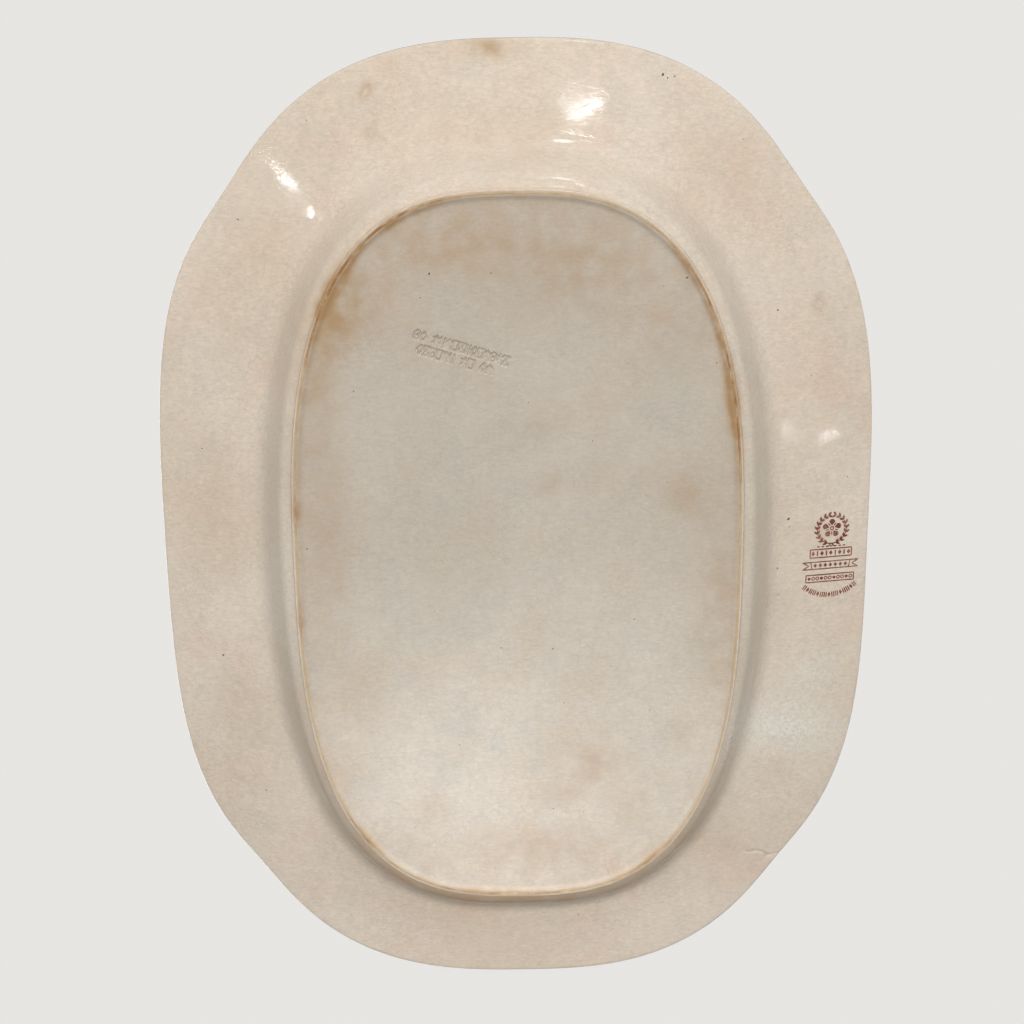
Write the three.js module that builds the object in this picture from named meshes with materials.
// Oval serving platter in printed and glazed earthenware, lying face up on its foot.
// Millimetres: X runs along the platter, Y across it, Z up, and the foot stands on Z = 0.
import * as THREE from 'three';
import { mergeVertices } from 'three/addons/utils/BufferGeometryUtils.js';

// Overall sizes. The height is that of the lip's upper corner before it is rounded.
const lipLength = 356;
const lipWidth = 256;
const height = 29;
const segments = 72;

// Plan of the lip: a long oval makes the two ends and a wide one the two sides,
// and where they cross the lip has its four shoulders.
const endOvalInset = 8.8;
const endOvalSquareness = 2.72;
const sideOvalInset = 31.3;
const sideOvalSquareness = 3.45;
const shoulderSharpness = 60;

// Plan of the foot, measured in from the lip.
const rimReachAtEnds = 47;
const rimReachAtSides = 49.2;
const footSquareness = 2.76;

// Section of the underside, outwards from the foot's outer edge.
const footLand = 3.4;
const footRise = 1.9;
const footDraft = 0.4;
const footFillet = 1.2;
const panelRun = 2.8;
const panelRecess = 1.5;
const panelDish = 1.7;
const panelFillet = 6;
const ledgeRun = 4.2;
const ledgeRise = 1.5;
const wallRun = 7.9;
const wallRise = 13.6;
const ledgeFillet = 5;
const backShoulderFillet = 10;

// Section of the face.
const floorThickness = 5.7;
const floorCrown = 1.3;
const wallThickness = 5;
const rimThickness = 4.4;
const floorFillet = 14;
const faceShoulderFillet = 12;
const lipFillet = 2.1;

// Glaze coats and prints.
const glazeThickness = 0.4;
const coatGap = 0.3;
const printThickness = 0.2;

// Printed bands on the face, in from the lip.
const rimLine = { from: 4.5, width: 1.6 };
const borderBand = { from: 8.5, width: 17 };
const shoulderLine = { from: 28, width: 1.2 };

// Maker's mark printed under one side of the rim: its centre's place along the platter and in
// from the lip, and the height (v) of each piece from there. The mark's top points along +X.
const markPlace = { x: -5, inFromLip: 14 };
const wreath = { v: 9.6, outer: 6.2, inner: 5.2 };
const rosette = { v: 9.6, mean: 2.7, wave: 1, petals: 5 };
const namePlate = { v: 0.6, width: 16, height: 3.6, frame: 0.5 };
const ribbon = { v: -4, width: 21, height: 3.2, notch: 2.4 };
const numberPlate = { v: -9, width: 18.5, height: 3.2, frame: 0.5 };
const motto = { v: -1, outer: 15.4, inner: 14, halfAngle: 0.72 };

const earthenware = { color: 0xd8cbb6, roughness: 0.8, metalness: 0 };
const ivoryGlaze = { color: 0xddcfba, roughness: 0.12, metalness: 0 };
const brownPrint = { color: 0x8a4a3a, roughness: 0.35, metalness: 0 };

const platter = new THREE.Group();

function point(r, z) {
  return new THREE.Vector2(r, z);
}

// Radius of an oval with squared shoulders at an angle about the centre.
function ovalRadius(angle, halfLength, halfWidth, squareness) {
  const along = Math.abs(Math.cos(angle)) / halfLength;
  const across = Math.abs(Math.sin(angle)) / halfWidth;
  return (along ** squareness + across ** squareness) ** (-1 / squareness);
}

function lipRadius(angle) {
  const end = ovalRadius(angle, lipLength / 2, lipWidth / 2 - endOvalInset, endOvalSquareness);
  const side = ovalRadius(angle, lipLength / 2 - sideOvalInset, lipWidth / 2, sideOvalSquareness);
  return end * (1 + (side / end) ** shoulderSharpness) ** (1 / shoulderSharpness);
}

function footRadius(angle) {
  const halfLength = lipLength / 2 - rimReachAtEnds;
  const halfWidth = lipWidth / 2 - rimReachAtSides;
  return ovalRadius(angle, halfLength, halfWidth, footSquareness);
}

// One corner of a section, turned into a short curve that starts and ends on its two sides.
function filletedCorner(before, corner, after, fillet, steps) {
  const inward = before.clone().sub(corner);
  const outward = after.clone().sub(corner);
  const turn = Math.PI - Math.abs(inward.angleTo(outward));
  const room = Math.min(inward.length(), outward.length()) / 2;
  const reach = Math.min(fillet * Math.tan(turn / 2), room);
  const start = inward.setLength(reach).add(corner);
  const end = outward.setLength(reach).add(corner);
  return new THREE.QuadraticBezierCurve(start, corner, end).getPoints(steps);
}

// A run of corners as a line of points. A corner without a fillet stays one point.
function filletedLine(corners) {
  return corners.flatMap(({ at, fillet, steps }, i) => {
    if (!fillet) return [at.clone()];
    return filletedCorner(corners[i - 1].at, at, corners[i + 1].at, fillet, steps);
  });
}

// The three stretches of the glazed surface at one angle, from the axis round the lip and back.
function sectionAt(angle) {
  const foot = footRadius(angle);
  const lip = lipRadius(angle);
  const panelEdge = foot - footLand - panelRun;
  const ledgeFoot = foot + footDraft;
  const wallFoot = ledgeFoot + ledgeRun;
  const wallHead = wallFoot + wallRun;
  const wallFootZ = footRise + ledgeRise;
  const wallHeadZ = wallFootZ + wallRise;
  const wallLean = wallRun / wallRise;
  const wallAcross = wallThickness * Math.hypot(1, wallLean);
  const floorZ = panelRecess + floorThickness;
  const innerWallR = (z) => wallFoot - wallAcross + (z - wallFootZ) * wallLean;
  const rimBackZ = height - rimThickness;
  const rimSlope = (rimBackZ - wallHeadZ) / (lip - wallHead);
  const faceShoulderZ = wallHeadZ + rimThickness - rimSlope * wallThickness * wallLean;
  const faceShoulder = point(innerWallR(faceShoulderZ), faceShoulderZ);
  const wallTop = point(wallHead, wallHeadZ);
  const lipUnder = point(lip, rimBackZ);
  const lipOver = point(lip, height);
  const lipMiddle = (height + rimBackZ) / 2;
  const seam = coatGap / 2;
  const landMiddle = foot - footLand / 2;
  const dish = (share) => point(panelEdge * share, panelRecess + panelDish * (1 - share ** 2));
  const crown = (share) => point(panelEdge * share, floorZ + floorCrown * (1 - share ** 2));
  return {
    panel: filletedLine([
      { at: dish(0) },
      { at: dish(0.4) },
      { at: dish(0.75) },
      { at: dish(1), fillet: panelFillet, steps: 2 },
      { at: point(foot - footLand, 0), fillet: footFillet, steps: 1 },
      { at: point(landMiddle, 0) },
    ]),
    back: filletedLine([
      { at: point(landMiddle, 0) },
      { at: point(foot, 0), fillet: footFillet, steps: 2 },
      { at: point(ledgeFoot, footRise), fillet: footFillet, steps: 1 },
      { at: point(wallFoot, wallFootZ), fillet: ledgeFillet, steps: 2 },
      { at: wallTop, fillet: backShoulderFillet, steps: 3 },
      { at: wallTop.clone().lerp(lipUnder, 0.6) },
      { at: lipUnder, fillet: lipFillet, steps: 2 },
      { at: point(lip, lipMiddle - seam) },
    ]),
    face: filletedLine([
      { at: point(lip, lipMiddle + seam) },
      { at: lipOver, fillet: lipFillet, steps: 2 },
      { at: faceShoulder.clone().lerp(lipOver, 0.6) },
      { at: faceShoulder, fillet: faceShoulderFillet, steps: 4 },
      { at: point(innerWallR(floorZ), floorZ), fillet: floorFillet, steps: 4 },
      { at: crown(1) },
      { at: crown(0.5) },
      { at: crown(0) },
    ]),
  };
}

// How many points of each stretch belong to the foot's dry land.
const landEndOfPanel = 2;
const landStartOfBack = 2;

// Moves a line of the section inwards by a depth for each point, square to the surface.
function sunk(line, depthOf) {
  return line.map((here, i) => {
    const before = line[Math.max(i - 1, 0)];
    const after = line[Math.min(i + 1, line.length - 1)];
    const arriving = here.clone().sub(i > 0 ? before : here);
    const leaving = after.clone().sub(here);
    const sides = [arriving, leaving].filter((side) => side.length() > 0).map((side) => side.normalize());
    const along = sides.reduce((sum, side) => sum.add(side), point(0, 0)).normalize();
    const depth = depthOf(i) / along.dot(sides[0]);
    const moved = point(here.x - along.y * depth, here.y + along.x * depth);
    if (here.x === 0) moved.x = 0;
    return moved;
  });
}

// A closed body whose section changes with the angle about the centre.
function sweptSolid(loopAt) {
  const geometry = new THREE.LatheGeometry(loopAt(0), segments);
  const position = geometry.attributes.position;
  for (let step = 0; step <= segments; step++) {
    const angle = ((step % segments) / segments) * 2 * Math.PI;
    const loop = loopAt(angle);
    loop.forEach(({ x: r, y: z }, i) => {
      position.setXYZ(step * loop.length + i, r * Math.cos(angle), r * Math.sin(angle), z);
    });
  }
  geometry.deleteAttribute('normal');
  geometry.deleteAttribute('uv');
  return mergeVertices(geometry, 1e-4);
}

function addPart(name, geometry, finish) {
  const mesh = new THREE.Mesh(geometry, new THREE.MeshStandardMaterial(finish));
  mesh.name = name;
  platter.add(mesh);
}

// The fired body, short of the outside by a glaze coat except on the foot's dry land.
function bodyLoop(angle) {
  const { panel, back, face } = sectionAt(angle);
  const coat = glazeThickness + coatGap;
  const sunkPanel = sunk(panel, (i) => (i >= panel.length - landEndOfPanel ? 0 : coat));
  const sunkBack = sunk(back, (i) => (i < landStartOfBack ? 0 : coat));
  return [...sunkPanel, ...sunkBack.slice(1), ...sunk(face, () => coat)];
}

// A glaze coat over one stretch. An open coat is a ring whose section closes on itself.
function coatLoop(line, open) {
  const inner = sunk(line, () => glazeThickness).reverse();
  return open ? [...line, ...inner, line[0]] : [...line, ...inner];
}

function panelCoatLoop(angle) {
  const { panel } = sectionAt(angle);
  return coatLoop(panel.slice(0, panel.length - landEndOfPanel), false);
}

function backCoatLoop(angle) {
  const { back } = sectionAt(angle);
  return coatLoop(back.slice(landStartOfBack + 1), true);
}

function faceCoatLoop(angle) {
  const { face } = sectionAt(angle);
  const inner = sunk(face, () => glazeThickness).reverse();
  return [...inner, ...face];
}

// Height of a stretch at a radius, along its straight pieces.
function heightOn(line, radius) {
  const ordered = line[0].x < line[line.length - 1].x ? line : [...line].reverse();
  const i = Math.max(ordered.findIndex(({ x }) => x >= radius), 1);
  const [low, high] = [ordered[i - 1], ordered[i]];
  return THREE.MathUtils.mapLinear(radius, low.x, high.x, low.y, high.y);
}

// A printed band that lies on the rim's face, its edges at set distances in from the lip.
function printedBandLoop(angle, { from, width }) {
  const { face } = sectionAt(angle);
  const lip = lipRadius(angle);
  const corner = (inFromLip, lift) => point(lip - inFromLip, heightOn(face, lip - inFromLip) + lift);
  const start = corner(from + width, coatGap);
  return [
    start,
    corner(from, coatGap),
    corner(from, coatGap + printThickness),
    corner(from + width, coatGap + printThickness),
    start.clone(),
  ];
}

// A flat outline laid under the rim so that it reads the right way from below.
function markSolid(shape) {
  const geometry = new THREE.ExtrudeGeometry(shape, { depth: printThickness, bevelEnabled: false, curveSegments: 12 });
  geometry.deleteAttribute('normal');
  geometry.deleteAttribute('uv');
  const position = geometry.attributes.position;
  for (let i = 0; i < position.count; i++) {
    const x = markPlace.x + position.getY(i);
    const y = lipWidth / 2 - markPlace.inFromLip + position.getX(i);
    const surface = heightOn(sectionAt(Math.atan2(y, x)).back, Math.hypot(x, y));
    position.setXYZ(i, x, y, surface - coatGap - position.getZ(i));
  }
  return mergeVertices(geometry, 1e-4);
}

function ringShape(v, outer, inner) {
  const shape = new THREE.Shape().absarc(0, v, outer, 0, 2 * Math.PI);
  shape.holes.push(new THREE.Path().absarc(0, v, inner, 0, 2 * Math.PI));
  return shape;
}

function rosetteShape({ v, mean, wave, petals }) {
  const stepsPerPetal = 8;
  const steps = petals * stepsPerPetal;
  const outline = Array.from({ length: steps }, (_, i) => {
    const angle = (i / steps) * 2 * Math.PI;
    const radius = mean + wave * Math.cos(petals * angle);
    return point(radius * Math.sin(angle), v + radius * Math.cos(angle));
  });
  return new THREE.Shape(outline);
}

function rectangle(v, width, tall) {
  return [point(-width / 2, v - tall / 2), point(width / 2, v - tall / 2),
    point(width / 2, v + tall / 2), point(-width / 2, v + tall / 2)];
}

function frameShape({ v, width, height: tall, frame }) {
  const shape = new THREE.Shape(rectangle(v, width, tall));
  shape.holes.push(new THREE.Path(rectangle(v, width - 2 * frame, tall - 2 * frame)));
  return shape;
}

// A ribbon with a swallow tail at each end.
function ribbonShape({ v, width, height: tall, notch }) {
  const outline = rectangle(v, width, tall);
  outline.splice(2, 0, point(width / 2 - notch, v));
  outline.push(point(notch - width / 2, v));
  return new THREE.Shape(outline);
}

function arcShape({ v, outer, inner, halfAngle }) {
  const down = -Math.PI / 2;
  const shape = new THREE.Shape().absarc(0, v, outer, down - halfAngle, down + halfAngle, false);
  return shape.absarc(0, v, inner, down + halfAngle, down - halfAngle, true);
}

addPart('earthenware_body', sweptSolid(bodyLoop), earthenware);
addPart('face_glaze', sweptSolid(faceCoatLoop), ivoryGlaze);
addPart('back_glaze', sweptSolid(backCoatLoop), ivoryGlaze);
addPart('base_panel_glaze', sweptSolid(panelCoatLoop), ivoryGlaze);
addPart('rim_line_print', sweptSolid((angle) => printedBandLoop(angle, rimLine)), brownPrint);
addPart('border_print', sweptSolid((angle) => printedBandLoop(angle, borderBand)), brownPrint);
addPart('shoulder_line_print', sweptSolid((angle) => printedBandLoop(angle, shoulderLine)), brownPrint);
addPart('mark_wreath', markSolid(ringShape(wreath.v, wreath.outer, wreath.inner)), brownPrint);
addPart('mark_rosette', markSolid(rosetteShape(rosette)), brownPrint);
addPart('mark_name_plate', markSolid(frameShape(namePlate)), brownPrint);
addPart('mark_ribbon', markSolid(ribbonShape(ribbon)), brownPrint);
addPart('mark_number_plate', markSolid(frameShape(numberPlate)), brownPrint);
addPart('mark_motto_band', markSolid(arcShape(motto)), brownPrint);

export default platter;
